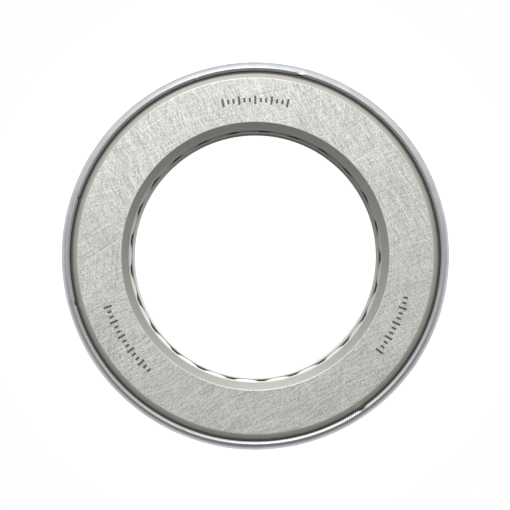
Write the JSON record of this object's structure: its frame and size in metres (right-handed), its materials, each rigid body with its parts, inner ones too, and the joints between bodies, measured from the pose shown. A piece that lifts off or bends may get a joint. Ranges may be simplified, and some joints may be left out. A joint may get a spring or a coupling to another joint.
{
  "type": "tapered roller thrust bearing",
  "caption": "Full-complement tapered roller thrust bearing: flat upper washer, cone-faced lower washer, rollers between them and a loose steel retaining band.",
  "frame": {"origin": "centre of the lower washer's bottom face", "axes": "+Z along the bearing axis, from the lower washer to the flat marked face of the upper washer"},
  "size_m": [0.0786, 0.0786, 0.02],
  "materials": {
    "washer_steel": "ground bearing steel with fine crossing grinding and handling scratches",
    "roller_steel": "superfinished bearing steel, nearly a mirror",
    "band_steel": "pressed bright sheet steel with a bluish cast"
  },
  "bodies": {
    "lower_washer": {"lower_washer": "washer_steel"},
    "upper_washer": {"upper_washer": "washer_steel"},
    "retaining_band": {"retaining_band": "band_steel"},
    "roller_01": {"roller_01": "roller_steel"},
    "roller_02": {"roller_02": "roller_steel"},
    "roller_03": {"roller_03": "roller_steel"},
    "roller_04": {"roller_04": "roller_steel"},
    "roller_05": {"roller_05": "roller_steel"},
    "roller_06": {"roller_06": "roller_steel"},
    "roller_07": {"roller_07": "roller_steel"},
    "roller_08": {"roller_08": "roller_steel"},
    "roller_09": {"roller_09": "roller_steel"},
    "roller_10": {"roller_10": "roller_steel"},
    "roller_11": {"roller_11": "roller_steel"},
    "roller_12": {"roller_12": "roller_steel"},
    "roller_13": {"roller_13": "roller_steel"},
    "roller_14": {"roller_14": "roller_steel"},
    "roller_15": {"roller_15": "roller_steel"},
    "roller_16": {"roller_16": "roller_steel"},
    "roller_17": {"roller_17": "roller_steel"},
    "roller_18": {"roller_18": "roller_steel"},
    "roller_19": {"roller_19": "roller_steel"},
    "roller_20": {"roller_20": "roller_steel"},
    "roller_21": {"roller_21": "roller_steel"},
    "roller_22": {"roller_22": "roller_steel"},
    "roller_23": {"roller_23": "roller_steel"},
    "roller_24": {"roller_24": "roller_steel"},
    "roller_25": {"roller_25": "roller_steel"}
  },
  "joints": [
    {"name": "upper_washer_turn", "type": "hinge", "parent": "lower_washer", "child": "upper_washer", "pos_m": [0, 0, 0.0175], "axis": [0, 0, 1], "continuous": true},
    {"name": "roller_circle_turn", "type": "hinge", "parent": "lower_washer", "child": "retaining_band", "pos_m": [0, 0, 0.01], "axis": [0, 0, 1], "continuous": true},
    {"name": "roller_01_spin", "type": "hinge", "parent": "retaining_band", "child": "roller_01", "pos_m": [0.03105, 0.00365, 0.01111], "axis": [0.9856, 0.1158, -0.123], "continuous": true},
    {"name": "roller_02_spin", "type": "hinge", "parent": "retaining_band", "child": "roller_02", "pos_m": [0.02916, 0.01125, 0.01111], "axis": [0.9259, 0.3573, -0.123], "continuous": true},
    {"name": "roller_03_spin", "type": "hinge", "parent": "retaining_band", "child": "roller_03", "pos_m": [0.02545, 0.01815, 0.01111], "axis": [0.8079, 0.5763, -0.123], "continuous": true},
    {"name": "roller_04_spin", "type": "hinge", "parent": "retaining_band", "child": "roller_04", "pos_m": [0.02014, 0.02391, 0.01111], "axis": [0.6392, 0.7591, -0.123], "continuous": true},
    {"name": "roller_05_spin", "type": "hinge", "parent": "retaining_band", "child": "roller_05", "pos_m": [0.01356, 0.02817, 0.01111], "axis": [0.4304, 0.8942, -0.123], "continuous": true},
    {"name": "roller_06_spin", "type": "hinge", "parent": "retaining_band", "child": "roller_06", "pos_m": [0.00613, 0.03065, 0.01111], "axis": [0.1945, 0.9732, -0.123], "continuous": true},
    {"name": "roller_07_spin", "type": "hinge", "parent": "retaining_band", "child": "roller_07", "pos_m": [-0.00169, 0.03122, 0.01111], "axis": [-0.0537, 0.991, -0.123], "continuous": true},
    {"name": "roller_08_spin", "type": "hinge", "parent": "retaining_band", "child": "roller_08", "pos_m": [-0.0094, 0.02981, 0.01111], "axis": [-0.2984, 0.9465, -0.123], "continuous": true},
    {"name": "roller_09_spin", "type": "hinge", "parent": "retaining_band", "child": "roller_09", "pos_m": [-0.01652, 0.02654, 0.01111], "axis": [-0.5244, 0.8425, -0.123], "continuous": true},
    {"name": "roller_10_spin", "type": "hinge", "parent": "retaining_band", "child": "roller_10", "pos_m": [-0.0226, 0.0216, 0.01111], "axis": [-0.7175, 0.6856, -0.123], "continuous": true},
    {"name": "roller_11_spin", "type": "hinge", "parent": "retaining_band", "child": "roller_11", "pos_m": [-0.02726, 0.0153, 0.01111], "axis": [-0.8654, 0.4857, -0.123], "continuous": true},
    {"name": "roller_12_spin", "type": "hinge", "parent": "retaining_band", "child": "roller_12", "pos_m": [-0.03021, 0.00804, 0.01111], "axis": [-0.959, 0.2552, -0.123], "continuous": true},
    {"name": "roller_13_spin", "type": "hinge", "parent": "retaining_band", "child": "roller_13", "pos_m": [-0.03126, 0.00027, 0.01111], "axis": [-0.9924, 0.0087, -0.123], "continuous": true},
    {"name": "roller_14_spin", "type": "hinge", "parent": "retaining_band", "child": "roller_14", "pos_m": [-0.03035, -0.00751, 0.01111], "axis": [-0.9633, -0.2384, -0.123], "continuous": true},
    {"name": "roller_15_spin", "type": "hinge", "parent": "retaining_band", "child": "roller_15", "pos_m": [-0.02752, -0.01482, 0.01111], "axis": [-0.8738, -0.4705, -0.123], "continuous": true},
    {"name": "roller_16_spin", "type": "hinge", "parent": "retaining_band", "child": "roller_16", "pos_m": [-0.02297, -0.0212, 0.01111], "axis": [-0.7293, -0.673, -0.123], "continuous": true},
    {"name": "roller_17_spin", "type": "hinge", "parent": "retaining_band", "child": "roller_17", "pos_m": [-0.01698, -0.02625, 0.01111], "axis": [-0.5391, -0.8332, -0.123], "continuous": true},
    {"name": "roller_18_spin", "type": "hinge", "parent": "retaining_band", "child": "roller_18", "pos_m": [-0.00992, -0.02965, 0.01111], "axis": [-0.3149, -0.9411, -0.123], "continuous": true},
    {"name": "roller_19_spin", "type": "hinge", "parent": "retaining_band", "child": "roller_19", "pos_m": [-0.00224, -0.03118, 0.01111], "axis": [-0.071, -0.9899, -0.123], "continuous": true},
    {"name": "roller_20_spin", "type": "hinge", "parent": "retaining_band", "child": "roller_20", "pos_m": [0.00559, -0.03076, 0.01111], "axis": [0.1774, -0.9764, -0.123], "continuous": true},
    {"name": "roller_21_spin", "type": "hinge", "parent": "retaining_band", "child": "roller_21", "pos_m": [0.01306, -0.0284, 0.01111], "axis": [0.4147, -0.9016, -0.123], "continuous": true},
    {"name": "roller_22_spin", "type": "hinge", "parent": "retaining_band", "child": "roller_22", "pos_m": [0.01972, -0.02426, 0.01111], "axis": [0.6259, -0.7702, -0.123], "continuous": true},
    {"name": "roller_23_spin", "type": "hinge", "parent": "retaining_band", "child": "roller_23", "pos_m": [0.02513, -0.01859, 0.01111], "axis": [0.7978, -0.5903, -0.123], "continuous": true},
    {"name": "roller_24_spin", "type": "hinge", "parent": "retaining_band", "child": "roller_24", "pos_m": [0.02896, -0.01176, 0.01111], "axis": [0.9195, -0.3734, -0.123], "continuous": true},
    {"name": "roller_25_spin", "type": "hinge", "parent": "retaining_band", "child": "roller_25", "pos_m": [0.03098, -0.00419, 0.01111], "axis": [0.9835, -0.133, -0.123], "continuous": true}
  ],
  "couplings": [
    {"joint": "roller_circle_turn", "follows": "upper_washer_turn", "ratio": 0.50768},
    {"joint": "roller_01_spin", "follows": "upper_washer_turn", "ratio": -4.0031},
    {"joint": "roller_02_spin", "follows": "upper_washer_turn", "ratio": -4.0031},
    {"joint": "roller_03_spin", "follows": "upper_washer_turn", "ratio": -4.0031},
    {"joint": "roller_04_spin", "follows": "upper_washer_turn", "ratio": -4.0031},
    {"joint": "roller_05_spin", "follows": "upper_washer_turn", "ratio": -4.0031},
    {"joint": "roller_06_spin", "follows": "upper_washer_turn", "ratio": -4.0031},
    {"joint": "roller_07_spin", "follows": "upper_washer_turn", "ratio": -4.0031},
    {"joint": "roller_08_spin", "follows": "upper_washer_turn", "ratio": -4.0031},
    {"joint": "roller_09_spin", "follows": "upper_washer_turn", "ratio": -4.0031},
    {"joint": "roller_10_spin", "follows": "upper_washer_turn", "ratio": -4.0031},
    {"joint": "roller_11_spin", "follows": "upper_washer_turn", "ratio": -4.0031},
    {"joint": "roller_12_spin", "follows": "upper_washer_turn", "ratio": -4.0031},
    {"joint": "roller_13_spin", "follows": "upper_washer_turn", "ratio": -4.0031},
    {"joint": "roller_14_spin", "follows": "upper_washer_turn", "ratio": -4.0031},
    {"joint": "roller_15_spin", "follows": "upper_washer_turn", "ratio": -4.0031},
    {"joint": "roller_16_spin", "follows": "upper_washer_turn", "ratio": -4.0031},
    {"joint": "roller_17_spin", "follows": "upper_washer_turn", "ratio": -4.0031},
    {"joint": "roller_18_spin", "follows": "upper_washer_turn", "ratio": -4.0031},
    {"joint": "roller_19_spin", "follows": "upper_washer_turn", "ratio": -4.0031},
    {"joint": "roller_20_spin", "follows": "upper_washer_turn", "ratio": -4.0031},
    {"joint": "roller_21_spin", "follows": "upper_washer_turn", "ratio": -4.0031},
    {"joint": "roller_22_spin", "follows": "upper_washer_turn", "ratio": -4.0031},
    {"joint": "roller_23_spin", "follows": "upper_washer_turn", "ratio": -4.0031},
    {"joint": "roller_24_spin", "follows": "upper_washer_turn", "ratio": -4.0031},
    {"joint": "roller_25_spin", "follows": "upper_washer_turn", "ratio": -4.0031}
  ]
}
